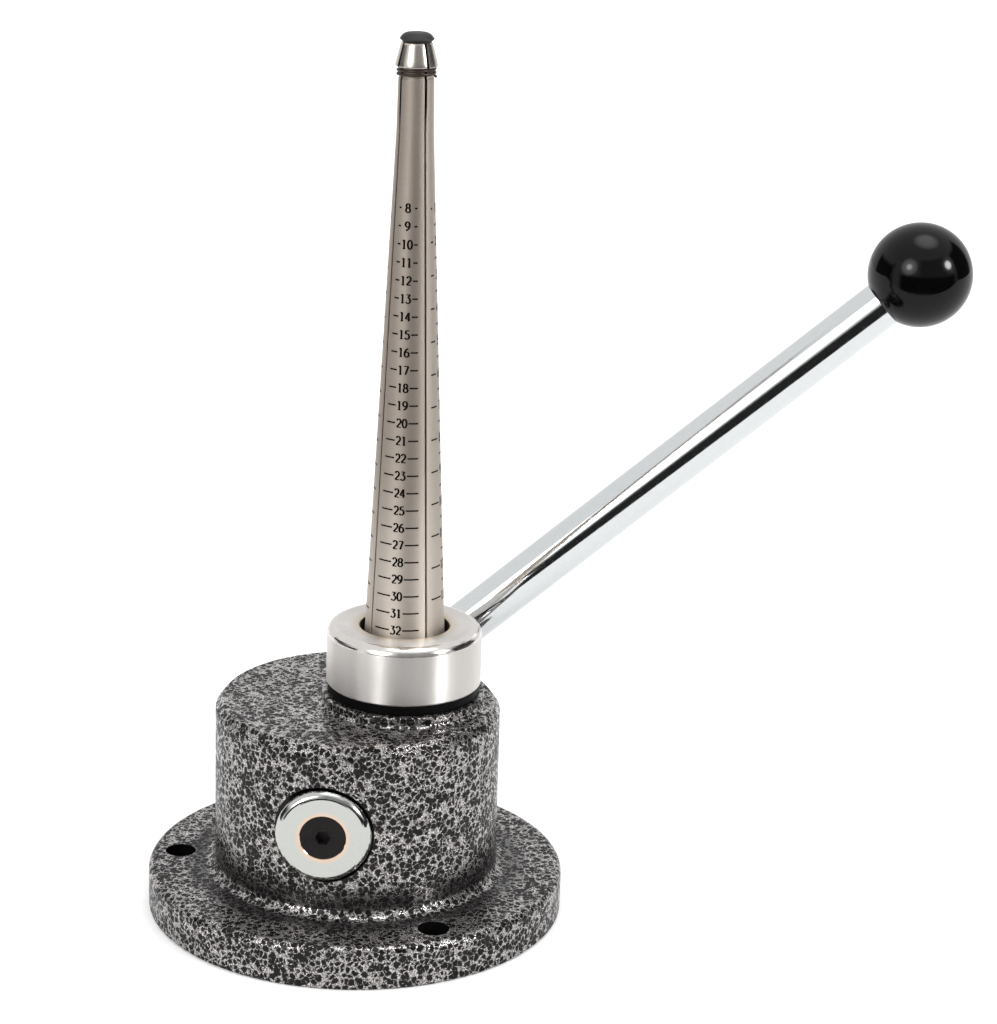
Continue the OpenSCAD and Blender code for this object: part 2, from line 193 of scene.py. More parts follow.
def window(g, value, low, high, soft):
    """1 between low and high, in degrees, falling to 0 over soft degrees on either side."""
    rise = g.ease(value, low - soft, low)
    return g.math("MULTIPLY", rise, g.ease(value, high + soft, high))


def strip(g, way, start, end):
    """1 on a thin strip between two directions, each a heading and a height."""
    a, b = Vector(heading_vector(*start)), Vector(heading_vector(*end))
    off = g.math("ABSOLUTE", g.vector("DOT_PRODUCT", way, a.cross(b).normalized()))
    middle = (a + b).normalized()
    along = g.vector("DOT_PRODUCT", way, middle)
    limit = a.dot(middle)
    return g.math("MULTIPLY", g.ease(off, *STRIP_HALF), g.ease(along, limit - STRIP_END, limit))


def make_world():
    """White to the camera. Light and reflections see a white room, dark round the camera."""
    world = bpy.data.worlds.new("studio")
    bpy.context.scene.world = world
    world.use_nodes = True
    g = Graph(world.node_tree)
    way = g.node("ShaderNodeTexCoord").outputs["Generated"]
    x, y, z = (g.part(way, axis) for axis in "XYZ")
    degree = math.pi / 180
    heading = g.math("DIVIDE", g.math("ARCTAN2", x, g.math("MULTIPLY", y, -1.0)), degree)
    height = g.math("DIVIDE", g.math("ARCSINE", z), degree)

    def zone(heading_span, height_span, soft_heading, soft_height):
        across = window(g, heading, *heading_span, soft_heading)
        return g.math("MULTIPLY", across, window(g, height, *height_span, soft_height))

    light = grey(ROOM_LIGHT)
    for mask, shade in (
            (zone((-2, 56), (12, 40), 14, 8), 0.35),         # wall between the two lamps
            (zone((-118, -71), (-36, 16), 6, 8), 0.04),      # left side of the room
            (zone((84, 126), (-30, 36), 7, 8), 0.04),        # black screen on the right
            (zone((-44, 70), (-90, -30), 14, 10), 0.5),      # floor before the table
            (zone((-44, 70), (-25, 3), 14, 10), 0.02),       # dark room round the camera
            (strip(g, way, (-72, 41), (-30, 13)), 0.4),      # edge of a wall panel
    ):
        light = g.mix(mask, light, grey(shade))
    for way_to, inner, outer, power in (
            ((63, 26), 2, 10, 30.0),                         # lamp on the right
            ((63, 26), 4, 18, 1.0),                          # its glow
            ((-34, 26), 0, 8, 11.0),                         # softer lamp in front on the left
            ((-34, 26), 0, 21, 4.0),                         # its wide glow
            ((100, 84), 0, 24, 3.0),                         # lit patch of the ceiling
    ):
        light = g.mix(spot(g, way, *way_to, inner, outer), light, grey(power), "ADD")
    rays = g.node("ShaderNodeLightPath")
    colour = g.mix(rays.outputs["Is Camera Ray"], light, grey(1.0))
    shader = g.node("ShaderNodeBackground", {"Color": colour, "Strength": 1.0})
    g.node("ShaderNodeOutputWorld", {"Surface": shader.outputs[0]})


def make_floor():
    """Plain pale table that reads as white to the camera and keeps the shadow."""
    mesh = bpy.data.meshes.new("floor")
    corners = ((-FLOOR_SIDE, FLOOR_FRONT), (FLOOR_SIDE, FLOOR_FRONT),
               (FLOOR_SIDE, FLOOR_BACK), (-FLOOR_SIDE, FLOOR_BACK))
    mesh.from_pydata([(x, y, -FLOOR_DROP) for x, y in corners], [], [(0, 1, 2, 3)])
    floor = bpy.data.objects.new("floor", mesh)
    bpy.context.collection.objects.link(floor)
    mat, g = material("floor")
    seen = g.node("ShaderNodeLightPath").outputs["Is Camera Ray"]
    grain = g.noise(g.place(), 900.0)
    colour = g.mix(grain, (0.80, 0.80, 0.80, 1), (0.84, 0.84, 0.84, 1))
    g.surface(Base_Color=colour, Roughness=0.9, Specular_IOR_Level=0.0,
              Emission_Color=grey(1.0), Emission_Strength=g.math("MULTIPLY", seen, FLOOR_GLOW))
    mesh.materials.append(mat)


make_world()
make_floor()


# ------------------------------------------------------------------ materials
def inside_round(g, at, centre, across, radius):
    """1 within a radius of the line through a centre; across has 1 for the axes square to the line."""
    off = g.vector("MULTIPLY", g.vector("SUBTRACT", at, centre), across)
    return g.math("LESS_THAN", g.vector("LENGTH", off), radius)


SHAFT = (-5.8 * MM, 0.0, 38.7 * MM)   # a point of the pinion shaft's axis, which runs along Y
RECESS_R = 14.7 * MM              # painted shade: the washer's recess and the bolt holes are coloured near black
BOLT_R = 4.6 * MM
BOLT_CIRCLE = 53.5 * MM
BOLT_HEADINGS = (30, 150, 270)    # as in the studio, from -Y towards +X
CORNER = (44 * MM, 14.5 * MM)     # radius and height of the corner at the drum's foot
PAINT_CELLS = 565.0               # cells of the hammered paint in a metre
PAINT_WARP = 0.0015               # how far noise moves them, in metres


def paint_cells(g, at):
    """1 inside a dark cell of the paint and 0 on the net, and one random number for each cell."""
    warp = g.vector("SUBTRACT", g.noise_colour(at, 700.0), (0.5, 0.5, 0.5))
    bent = g.vector("ADD", at, g.vector("MULTIPLY", warp, (PAINT_WARP,) * 3))
    middle = g.cells(bent, PAINT_CELLS)
    edge = g.cells(bent, PAINT_CELLS, "DISTANCE_TO_EDGE")
    chance = g.node("ShaderNodeSeparateColor", {0: g.cells(bent, PAINT_CELLS, output="Color")})
    crowd = g.ease(g.noise(at, 240.0), 0.3, 0.7, -0.06, 0.08)
    ragged = g.ease(g.noise(at, 2200.0), 0.3, 0.7, -0.07, 0.07)
    inset = g.ease(chance.outputs[1], 0.0, 1.0, 0.10, -0.08, False)
    inside = g.math("ADD", g.math("ADD", edge, ragged), g.math("ADD", inset, crowd))
    dark = g.math("MULTIPLY", g.ease(inside, 0.03, 0.11), g.ease(middle, 0.74, 0.56))
    return dark, chance.outputs[0]


def foot_grime(g, at):
    """Share of painted shade in the corner at the drum's foot. The fillet itself stays nearly unshaded."""
    out = g.math("SUBTRACT", g.vector("LENGTH", g.vector("MULTIPLY", at, (1, 1, 0))), CORNER[0])
    up = g.math("SUBTRACT", g.part(at, "Z"), CORNER[1])
    far = g.math("SQRT", g.math("ADD", g.math("MULTIPLY", out, out), g.math("MULTIPLY", up, up)))
    beside = g.math("MAXIMUM", g.ease(out, 0.9 * MM, 1.6 * MM), g.ease(up, 0.6 * MM, 1.4 * MM))
    return g.math("MULTIPLY", g.ease(far, 10 * MM, 4 * MM, 0.0, 0.7), g.ease(beside, 0.0, 1.0, 0.1, 1.0))


def unpainted(g, at):
    """1 in the washer's recess and in the bolt holes, which are coloured near black as painted shade."""
    hollow_shade = inside_round(g, at, SHAFT, (1, 0, 1), RECESS_R)
    for heading in BOLT_HEADINGS:
        x, y, _ = heading_vector(heading, 0)
        hole = inside_round(g, at, (x * BOLT_CIRCLE, y * BOLT_CIRCLE, 0), (1, 1, 0), BOLT_R)
        hollow_shade = g.math("MAXIMUM", hollow_shade, hole)
    return hollow_shade


def hammer_paint():
    """Silvery net of metallic enamel round dark, sunken cells, with painted shade at the drum's foot and in
    the hollows.
    """
    mat, g = material("hammer_paint")
    at = g.place()
    dark, chance = paint_cells(g, at)
    fleck = g.ease(g.noise(at, 2800.0, 3.0), 0.40, 0.66)
    net = g.mix(fleck, (0.11, 0.104, 0.102, 1), (0.80, 0.77, 0.755, 1))
    deep = g.mix(chance, (0.002, 0.0017, 0.0017, 1), (0.012, 0.0095, 0.0095, 1))
    # Painted shade: the corner at the drum's foot is mixed towards near black.
    paint = g.mix(foot_grime(g, at), g.mix(dark, net, deep), (0.010, 0.009, 0.009, 1))
    hollow_shade = unpainted(g, at)
    height = g.math("SUBTRACT", g.math("MULTIPLY", fleck, 0.35), dark)
    relief = g.bump(height, 0.00014, 0.28, g.bump(g.noise(at, 420.0), 0.0003, 0.12))
    shine = g.math("MULTIPLY", g.ease(dark, 0, 1, 0.85, 0.0, False), g.math("SUBTRACT", 1.0, hollow_shade))
    # Painted shade: near black, dull colour in the washer's recess and the bolt holes.
    g.surface(Base_Color=g.mix(hollow_shade, paint, grey(0.004)), Metallic=shine,
              Roughness=g.ease(dark, 0, 1, 0.14, 0.30, False), Specular_IOR_Level=0.0,
              Normal=relief, Coat_Weight=0.4, Coat_Roughness=0.025, Coat_IOR=1.5, Coat_Normal=relief)
    return mat


# Places on the steel are in metres, apart from the mandrel's axis.
AXIS_X = 13.4                             # the mandrel's axis, in millimetres
CUT_HEADING = math.radians(37.0)          # one of the mandrel's saw cuts, from +X towards +Y
DARK_FROM, DARK_TO = 0.100, 0.150         # the pale foot turns darker between these heights
LIT_SIDE = (0.60, 0.63)                  # painted light: paler past this share of rightwards, on the side facing the lamp on the right
HEAD_FROM, HEAD_FULL = 0.2541, 0.2543     # the polished head begins between these heights
CUT_SHADE_EDGE = (0.46 * MM, 0.38 * MM)         # the painted shade along a saw cut ends this far from its middle
CUT_SHADE_FROM, CUT_SHADE_FULL = 0.236, 0.244       # the painted shade along the cuts begins between these heights
BORE_R = 13.4 * MM                        # just outside the collar's bore, inside which the steel is coloured near black as painted shade
WARM_RING = (17.0 * MM, 13.5 * MM)        # the collar's warm ring begins and is full at these radii
ROUNDED_R = (20.0 * MM, 20.8 * MM)        # where the collar's polished, rounded upper edge begins
ROUNDED_Z = (0.0866, 0.0874)
WORN_PLATING = (8.4 * MM, 6.8 * MM)       # the washer's warm ring begins and is full at these radii


def turned(g, at, scale, depth, strength):
    """Fine turning marks round the vertical axis, each at its own height."""
    marks = g.noise(g.vector("MULTIPLY", at, (0.03, 0.03, 1.0)), scale, 3.0, 0.6)
    return g.bump(marks, depth, strength)


def from_axis(g, at):
    """Level vector from the mandrel's axis to a point."""
    return g.vector("MULTIPLY", g.vector("SUBTRACT", at, (AXIS_X * MM, 0, 0)), (1, 1, 0))


def across_turning(g, at):
    """Direction across the turning marks: up on a side, outwards or inwards on a face."""
    return g.vector("SUBTRACT", (0, 0, 1), g.vector("NORMALIZE", from_axis(g, at)))


def cut_soot(g, at, height):
    """1 along the saw cuts above the scales, where the cuts' edges are coloured dark as painted shade."""
    across, along = math.cos(CUT_HEADING), math.sin(CUT_HEADING)
    off = from_axis(g, at)
    cuts = [g.math("ABSOLUTE", g.vector("DOT_PRODUCT", off, normal))
            for normal in ((across, along, 0), (-along, across, 0))]
    near = g.ease(g.math("MINIMUM", *cuts), *CUT_SHADE_EDGE)
    return g.math("MULTIPLY", near, g.ease(height, CUT_SHADE_FROM, CUT_SHADE_FULL))


def mandrel_steel():
    """Ground steel: paler at the foot, warmer and darker above, kept paler facing right as painted light,
    with a polished head.
    """
    mat, g = material("mandrel_steel")
    at = g.place()
    cloud = g.noise(g.vector("MULTIPLY", at, (1, 1, 0.25)), 90.0, 3.0)
    streak = g.noise(g.vector("MULTIPLY", at, (0.03, 0.03, 1.0)), 5200.0, 2.0)
    pale_steel = g.mix(cloud, (0.56, 0.50, 0.44, 1), (0.65, 0.59, 0.53, 1))
    dark_steel = g.mix(cloud, (0.37, 0.315, 0.27, 1), (0.44, 0.385, 0.335, 1))
    height = g.part(at, "Z")
    # Painted light: the steel facing right, towards the lamp on the right, is kept paler.
    rightwards = g.part(g.vector("NORMALIZE", from_axis(g, at)), "X")
    dark_above_lit_right = g.math("MULTIPLY", g.ease(height, DARK_FROM, DARK_TO),
                    g.ease(rightwards, *LIT_SIDE, 1.0, 0.4))
    head = g.ease(height, HEAD_FROM, HEAD_FULL)
    colour = g.mix(head, g.mix(dark_above_lit_right, pale_steel, dark_steel), (0.60, 0.555, 0.50, 1))
    # Painted shade: the edges of the saw cuts are coloured near black.
    colour = g.mix(cut_soot(g, at, height), colour, (0.035, 0.028, 0.024, 1))
    rough = g.math("ADD", g.ease(streak, 0.3, 0.7, 0.50, 0.56), g.ease(cloud, 0.3, 0.7, 0.0, 0.04))
    rough = g.ease(head, 0.0, 1.0, rough, 0.26, False)
    g.surface(Base_Color=colour, Metallic=1.0, Roughness=rough, Anisotropic=0.55,
              Normal=turned(g, at, 5200.0, 0.00001, 0.15), Tangent=across_turning(g, at))
    return mat


def collar_steel():
    """Turned steel with a warm ring next to the bore, painted shade inside the bore and a polished upper
    edge.
    """
    mat, g = material("collar_steel")
    at = g.place()
    blotch = g.noise(g.vector("MULTIPLY", at, (1, 1, 0.35)), 260.0, 3.0)
    streak = g.noise(g.vector("MULTIPLY", at, (0.03, 0.03, 1.0)), 6000.0, 2.0)
    steel = g.mix(blotch, (0.70, 0.665, 0.63, 1), (0.85, 0.83, 0.81, 1))
    far = g.vector("LENGTH", from_axis(g, at))
    warm = g.mix(g.ease(far, *WARM_RING), steel, (0.70, 0.60, 0.48, 1))
    # Painted shade: near black inside the collar's bore.
    colour = g.mix(g.math("LESS_THAN", far, BORE_R), warm, (0.04, 0.03, 0.025, 1))
    polish = g.math("MULTIPLY", g.ease(far, *ROUNDED_R), g.ease(g.part(at, "Z"), *ROUNDED_Z))
    turned_rough = g.math("ADD", g.ease(streak, 0.3, 0.7, 0.32, 0.36),
                          g.ease(blotch, 0.35, 0.75, 0.0, 0.05))
    rough = g.ease(polish, 0.0, 1.0, turned_rough, 0.11, False)
    g.surface(Base_Color=colour, Metallic=1.0, Roughness=rough, Anisotropic=0.93,
              Normal=turned(g, at, 6000.0, 0.00001, 0.2), Tangent=across_turning(g, at))
    return mat


def plated(name, low, high, rough, grain, tint=None):
    """Bright plated steel; grain stretches the fine marks along or round the piece."""
    mat, g = material(name)
    at = g.place()
    marks = g.noise(g.vector("MULTIPLY", at, grain), 1.0, 3.0)
    colour = g.mix(marks, low, high)
    if tint is not None:
        colour = tint(g, at, colour)
    g.surface(Base_Color=colour, Metallic=1.0, Roughness=g.ease(marks, 0.3, 0.7, *rough),
              Normal=g.bump(marks, 0.00001, 0.2))
    return mat


def satin(name, low, high, rough, scale, metallic=0.6, specular=0.5):
    """Dull finish with a fine, even grain and broad, faint patches."""
    mat, g = material(name)
    at = g.place()
    grain = g.noise(at, scale, 3.0)
    patch = g.noise(at, scale * 0.1, 2.0)
    colour = g.mix(patch, low, high)
    g.surface(Base_Color=colour, Metallic=metallic, Roughness=g.ease(patch, 0.3, 0.7, *rough),
              Normal=g.bump(grain, 0.00003, 0.6), Specular_IOR_Level=specular)
    return mat


def washer_tint(g, at, colour):
    """Warm ring next to the screw, where the plating is worn."""
    flat = g.vector("MULTIPLY", g.vector("SUBTRACT", at, SHAFT), (1, 0, 1))
    far = g.vector("LENGTH", flat)
    return g.mix(g.ease(far, *WORN_PLATING), colour, (0.80, 0.60, 0.46, 1))


def ball_plastic():
    """Glossy black plastic with a faint haze."""
    mat, g = material("ball_plastic")
    at = g.place()
    haze = g.noise(at, 70.0, 3.0)
    wear = g.noise(at, 2600.0, 2.0)
    colour = g.mix(haze, (0.0012, 0.001, 0.0012, 1), (0.003, 0.0026, 0.003, 1))
    g.surface(Base_Color=colour, Roughness=g.ease(haze, 0.3, 0.7, 0.07, 0.11), Specular_IOR_Level=0.22,
              Normal=g.bump(wear, 0.000004, 0.15))
    return mat


LOOKS = {
    "hammer_paint": hammer_paint(),
    "mandrel_steel": mandrel_steel(),
    "collar_steel": collar_steel(),
    "ball_plastic": ball_plastic(),
    "washer_chrome": plated("washer_chrome", (0.57, 0.58, 0.555, 1), (0.62, 0.63, 0.605, 1),
                            rough=(0.05, 0.09), grain=(900, 900, 900), tint=washer_tint),
    "rod_chrome": plated("rod_chrome", (0.69, 0.715, 0.72, 1), (0.79, 0.81, 0.815, 1),
                         rough=(0.045, 0.11), grain=(500, 2500, 500)),
    "black_steel": satin("black_steel", (0.002, 0.002, 0.002, 1), (0.005, 0.0045, 0.0045, 1),
                         rough=(0.4, 0.55), scale=1500.0, metallic=0.0, specular=0.05),
    "screw_steel": satin("screw_steel", (0.008, 0.007, 0.007, 1), (0.020, 0.017, 0.017, 1),
                         rough=(0.38, 0.5), scale=2200.0, metallic=0.0, specular=0.12),
    "hub_steel": satin("hub_steel", (0.02, 0.02, 0.02, 1), (0.035, 0.034, 0.033, 1),
                       rough=(0.3, 0.42), scale=1200.0),
    "cap_steel": satin("cap_steel", (0.024, 0.023, 0.024, 1), (0.055, 0.054, 0.056, 1),
                       rough=(0.5, 0.65), scale=3500.0),
    "iron_wire": satin("iron_wire", (0.045, 0.030, 0.024, 1), (0.090, 0.062, 0.050, 1),
                       rough=(0.35, 0.5), scale=4000.0, metallic=0.8),
    "machined_steel": satin("machined_steel", (0.40, 0.39, 0.37, 1), (0.52, 0.51, 0.49, 1),
                            rough=(0.25, 0.35), scale=2500.0, metallic=1.0),
    "bronze": satin("bronze", (0.45, 0.28, 0.12, 1), (0.60, 0.40, 0.20, 1),
                    rough=(0.28, 0.4), scale=1500.0, metallic=1.0),
    "insert_brass": satin("insert_brass", (0.60, 0.42, 0.18, 1), (0.72, 0.54, 0.26, 1),
                          rough=(0.25, 0.35), scale=1500.0, metallic=1.0),
    "scale_ink": satin("scale_ink", (0.004, 0.003, 0.003, 1), (0.010, 0.008, 0.007, 1),
                       rough=(0.5, 0.7), scale=3000.0, metallic=0.0, specular=0.05),
}
for row in frame["record"]["subparts"]:
    node = frame["nodes"][row["node"]]
    node.data.materials.clear()
    node.data.materials.append(LOOKS[row["material_slot"]])


# ------------------------------------------------------------------ mesh helper
def add_piece(name, points, faces, look, body, sharp=30):
    """Links a mesh as a smooth-shaded piece that rides on a CAD body. Points are in millimetres."""
    mesh = bpy.data.meshes.new(name)
    mesh.from_pydata([Vector(p) * MM for p in points], [], faces)
    mesh.validate()
    mesh.shade_smooth()
    mesh.set_sharp_from_angle(angle=math.radians(sharp))
    mesh.materials.append(LOOKS[look])
    piece = bpy.data.objects.new(name, mesh)
    bpy.context.collection.objects.link(piece)
    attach(piece, body)
    return piece


def rings_to_faces(count, sides):
    """Faces of a skin over rings of points that have the same number of sides, with both ends closed."""
    faces = []
    for a in range(0, (count - 1) * sides, sides):
        b = a + sides
        faces += [(a + k, a + (k + 1) % sides, b + (k + 1) % sides, b + k) for k in range(sides)]
    faces.append(tuple(reversed(range(sides))))
    faces.append(tuple(range((count - 1) * sides, count * sides)))
    return faces


# ------------------------------------------------------------------ mandrel
# Sizes in millimetres, as in the construction.
TAPER_Z = (90.0, 236.0)
TAPER_R = (11.7, 5.3)
TAPER_SLOPE = (TAPER_R[1] - TAPER_R[0]) / (TAPER_Z[1] - TAPER_Z[0])
CORE_FOOT_R, CORE_SLOPE, CORE_GAP = 8.5, 0.035, 0.3
SLIT = 0.52                       # saw cut, a little narrower than in the solids
SLIT_BEVEL = 0.15                 # bevel along the saw cuts
PLATFORM_Z, FOOT_TOP, FOOT_R = 78.0, 81.8, 17.0
FOOT_ROUND = 0.3                  # bevel of the feet
RING_Z, RING_GROOVE, RING_HALF = 85.0, 0.6, 0.6
HEAD_TOP_Z, HEAD_MOUTH_R = 260.9, 4.05
BEVEL_FOOT_Z = 259.710            # where the head's inner bevel meets the bore
HEAD = (                          # radius and height, from the wire's groove to the head's top
    (5.05, 250.9), (4.8, 251.3), (4.8, 254.2), (5.77, 254.2), (5.94, 254.28),
    (6.02, 254.45), (6.00, 254.7), (5.67, 256.1), (4.57, 260.2), (4.45, 260.6),
    (4.22, HEAD_TOP_Z),
)
TAPER_STEPS, ARC_STEPS, BORE_STEPS = 12, 20, 10
HEADINGS = {"front": -98.0, "right": -8.0, "back": 82.0, "left": 172.0}   # degrees, from +X towards +Y
HALF_QUARTER = 45                 # degrees from a segment's middle to its saw cuts


def taper_r(z):
    """Radius of the taper that carries the scales."""
    return TAPER_R[0] + TAPER_SLOPE * (z - TAPER_Z[0])


def bore_r(z):
    """Radius of the segments' bore, which runs along the core."""
    return CORE_FOOT_R + CORE_SLOPE * (TAPER_Z[0] - z) + CORE_GAP


def segment_outline():
    """Outer (radius, height) points of a segment, from its foot to its head."""
    ring_r = taper_r(RING_Z)
    low, high = TAPER_Z
    heights = [low + (high - low) * i / TAPER_STEPS for i in range(TAPER_STEPS + 1)]
    return [
        (FOOT_R - FOOT_ROUND, PLATFORM_Z), (FOOT_R, PLATFORM_Z + FOOT_ROUND),
        (FOOT_R, FOOT_TOP - FOOT_ROUND), (FOOT_R - FOOT_ROUND, FOOT_TOP), (taper_r(FOOT_TOP), FOOT_TOP),
        (ring_r, RING_Z - RING_HALF), (ring_r - RING_GROOVE, RING_Z - RING_HALF),
        (ring_r - RING_GROOVE, RING_Z + RING_HALF), (ring_r, RING_Z + RING_HALF),
        *((taper_r(z), z) for z in heights), *HEAD,
    ]


def segment_section(outer, inner, heading):
    """One closed loop of a quarter: slit face, bevel, outer arc, bevel, slit face, bore."""
    half = SLIT / 2
    bevel_in = math.sqrt(outer * outer - half * half) - SLIT_BEVEL
    start = math.asin((half + SLIT_BEVEL) / outer)
    bore_start = math.asin(half / inner)
    loop = [(bevel_in, half)]
    for i in range(ARC_STEPS + 1):
        a = start + (math.pi / 2 - 2 * start) * i / ARC_STEPS
        loop.append((outer * math.cos(a), outer * math.sin(a)))
    loop.append((half, bevel_in))
    for i in range(BORE_STEPS + 1):
        a = math.pi / 2 - bore_start - (math.pi / 2 - 2 * bore_start) * i / BORE_STEPS
        loop.append((inner * math.cos(a), inner * math.sin(a)))
    turn = math.radians(heading - HALF_QUARTER)
    return [(AXIS_X + x * math.cos(turn) - y * math.sin(turn), x * math.sin(turn) + y * math.cos(turn))
            for x, y in loop]


def make_segment(side):
    """Quarter of the split mandrel with bevelled saw cuts and a rounded head."""
    heading = HEADINGS[side]
    rings = []
    for outer, z in segment_outline():
        last = z == HEAD_TOP_Z
        inner = HEAD_MOUTH_R if last else bore_r(min(z, BEVEL_FOOT_Z))
        inner_z = z if last else min(z, BEVEL_FOOT_Z)
        loop = segment_section(outer, inner, heading)
        bore_from = len(loop) - (BORE_STEPS + 1)          # the loop's last points lie on the bore
        rings.append([(x, y, inner_z if k >= bore_from else z) for k, (x, y) in enumerate(loop)])
    sides = len(rings[0])
    points = [p for ring in rings for p in ring]
    node = "segment_" + side
    piece = add_piece("mandrel_quarter_" + side, points, rings_to_faces(len(rings), sides),
                      "mandrel_steel", node, 24)
    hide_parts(node)


for side in HEADINGS:
    make_segment(side)


# ------------------------------------------------------------------ scales on the mandrel
DIGIT_W, DIGIT_H, DIGIT_GAP = 1.42, 2.5, 0.26
CELL_H = 1.6                      # height of a digit in its own frame, where it is 1 wide
THIN, THICK = 0.34, 0.60          # width of level and of upright strokes
DASH_W, DASH_GAP = 0.46, 0.42
HALF_DASH = 1.1                   # half length of a half size's dash
EDGE_CLEAR = 2.2                  # bare steel between a dash and the saw cut
STROKE_STEP = 0.3                 # strokes are cut this fine, so that they follow the round steel
SHARP_CORNER = math.radians(40)   # strokes end where a line turns by more than this
INK_LIFT = 0.02                   # height of the ink over the steel
NEAR_SHIFT = -0.25                # the two scales in the photo stand a little left of their middles
FRONT_ZERO_Z, FRONT_STEP = 256.480, 5.167   # where mark 0 of the front scale would be, and its spacing
RIGHT_ONE_Z, RIGHT_STEP = 214.682, 9.579    # mark 1 of the right scale, and its spacing
HALF_MM_R = 0.25                  # radius of half a millimetre of diameter


def bow(cx, cy, rx, ry, a0, a1, n):
    """Points of an arc in a digit's own frame."""
    return [(cx + rx * math.cos(math.radians(a0 + (a1 - a0) * i / n)),
             cy + ry * math.sin(math.radians(a0 + (a1 - a0) * i / n))) for i in range(n + 1)]


SIX = [
    bow(0.5, 0.47, 0.43, 0.47, 0, 360, 22),
    [(0.07, 0.47), (0.09, 0.82), (0.25, 1.18), (0.50, 1.44), (0.82, 1.57)],
]
DIGITS = {
    "0": [bow(0.5, 0.8, 0.42, 0.8, 0, 360, 24)],
    "1": [[(0.5, 0.0), (0.5, 1.6)], [(0.20, 1.36), (0.5, 1.6)], [(0.22, 0.02), (0.78, 0.02)]],
    "2": [bow(0.48, 1.14, 0.40, 0.46, 165, -38, 14) + [(0.06, 0.04), (0.96, 0.04)]],
    "3": [[(0.10, 1.57), (0.88, 1.57), (0.40, 0.98)] + bow(0.42, 0.49, 0.47, 0.49, 90, -150, 14)],
    "4": [[(0.70, 0.0), (0.70, 1.6), (0.03, 0.44), (1.0, 0.44)]],
    "5": [[(0.90, 1.57), (0.24, 1.57), (0.17, 0.93)] + bow(0.42, 0.50, 0.48, 0.50, 118, -150, 14)],
    "6": SIX,
    "7": [[(0.05, 1.57), (0.95, 1.57), (0.36, 0.0)]],
    "8": [bow(0.5, 1.20, 0.35, 0.38, 0, 360, 20), bow(0.5, 0.42, 0.43, 0.42, 0, 360, 20)],
    "9": [[(1 - x, CELL_H - y) for x, y in line] for line in SIX],
}


def stroke(line, width=None):
    """Ribbon along a line of (u, v) points; without a width, upright parts are thicker than level ones."""
    left, right = [], []
    loop = math.dist(line[0], line[-1]) < 1e-6
    last = len(line) - 1
    for i, (u, v) in enumerate(line):
        before = line[i - 1] if i else (line[last - 1] if loop else line[0])
        after = line[i + 1] if i < last else (line[1] if loop else line[last])
        du, dv = after[0] - before[0], after[1] - before[1]
        size = math.hypot(du, dv)
        half = (width or THIN + (THICK - THIN) * abs(dv) / size) / 2
        left.append((u - dv / size * half, v + du / size * half))
        right.append((u + dv / size * half, v - du / size * half))
    count = len(line)
    faces = [(i, i + 1, count + i + 1, count + i) for i in range(count - 1)]
    return left + right, faces


def finer(line):
    """Adds points, so that a stroke follows the round steel."""
    points = [line[0]]
    for a, b in zip(line, line[1:]):
        count = max(1, math.ceil(math.dist(a, b) / STROKE_STEP))
        points += [(a[0] + (b[0] - a[0]) * i / count, a[1] + (b[1] - a[1]) * i / count)
                   for i in range(1, count + 1)]
    return points


def split_corners(line):
    """Cuts a line at its sharp corners, so that each straight stroke keeps its own width."""
    parts, part = [], [line[0]]
    for i in range(1, len(line)):
        part.append(line[i])
        if i + 1 < len(line):
            a = math.atan2(line[i][1] - line[i - 1][1], line[i][0] - line[i - 1][0])
            b = math.atan2(line[i + 1][1] - line[i][1], line[i + 1][0] - line[i][0])
            if abs(math.remainder(b - a, math.tau)) > SHARP_CORNER:
                parts.append(part)
                part = [line[i]]
    parts.append(part)
    return parts


class Scale:
    """Marks and numerals wrapped on the mandrel's taper round one heading."""

    def __init__(self, heading, shift=0.0):
        self.heading, self.shift = math.radians(heading), shift
        self.points, self.faces = [], []

    def ribbon(self, z, line, width=None):
        flat, faces = stroke(finer(line), width)
        base = len(self.points)
        for u, v in flat:
            r = taper_r(z + v) + INK_LIFT
            a = self.heading + (u + self.shift) / taper_r(z)
            self.points.append((AXIS_X + r * math.cos(a), r * math.sin(a), z + v))
        self.faces += [tuple(base + k for k in face) for face in faces]

    def dash(self, z, u0, u1):
        self.ribbon(z, [(u0, 0.0), (u1, 0.0)], DASH_W)

    def number(self, z, text):
        """Writes the number centred on the heading."""
        total = len(text) * DIGIT_W + (len(text) - 1) * DIGIT_GAP
        for k, digit in enumerate(text):
            u0 = -total / 2 + k * (DIGIT_W + DIGIT_GAP)
            for line in DIGITS[digit]:
                for part in split_corners(line):
                    self.ribbon(z, [(u0 + x * DIGIT_W, (y / CELL_H - 0.5) * DIGIT_H) for x, y in part])

    def row(self, z, text, edge):
        """Dash, number, dash; the dashes end at edge and leave room for two digits."""
        half = DIGIT_W + DIGIT_GAP / 2 + DASH_GAP
        self.number(z, text)
        self.dash(z, -edge, -half)
        self.dash(z, half, edge)

    def piece(self, name, body):
        add_piece(name, self.points, self.faces, "scale_ink", body)


def row_edge(z):
    """Where the dashes end, measured along the steel from the heading."""
    return taper_r(z) * math.pi / 4 - EDGE_CLEAR


front = Scale(HEADINGS["front"], NEAR_SHIFT)
for n in range(8, 33):
    z = FRONT_ZERO_Z - FRONT_STEP * n
    front.row(z, str(n), row_edge(z))
front.piece("scale_front", "segment_front")

right = Scale(HEADINGS["right"], NEAR_SHIFT)
for n in range(1, 14):
    z = RIGHT_ONE_Z - RIGHT_STEP * (n - 1)
    right.row(z, str(n), row_edge(z))
    if n < 13:
        right.dash(z - RIGHT_STEP / 2, -HALF_DASH, HALF_DASH)
right.piece("scale_right", "segment_right")

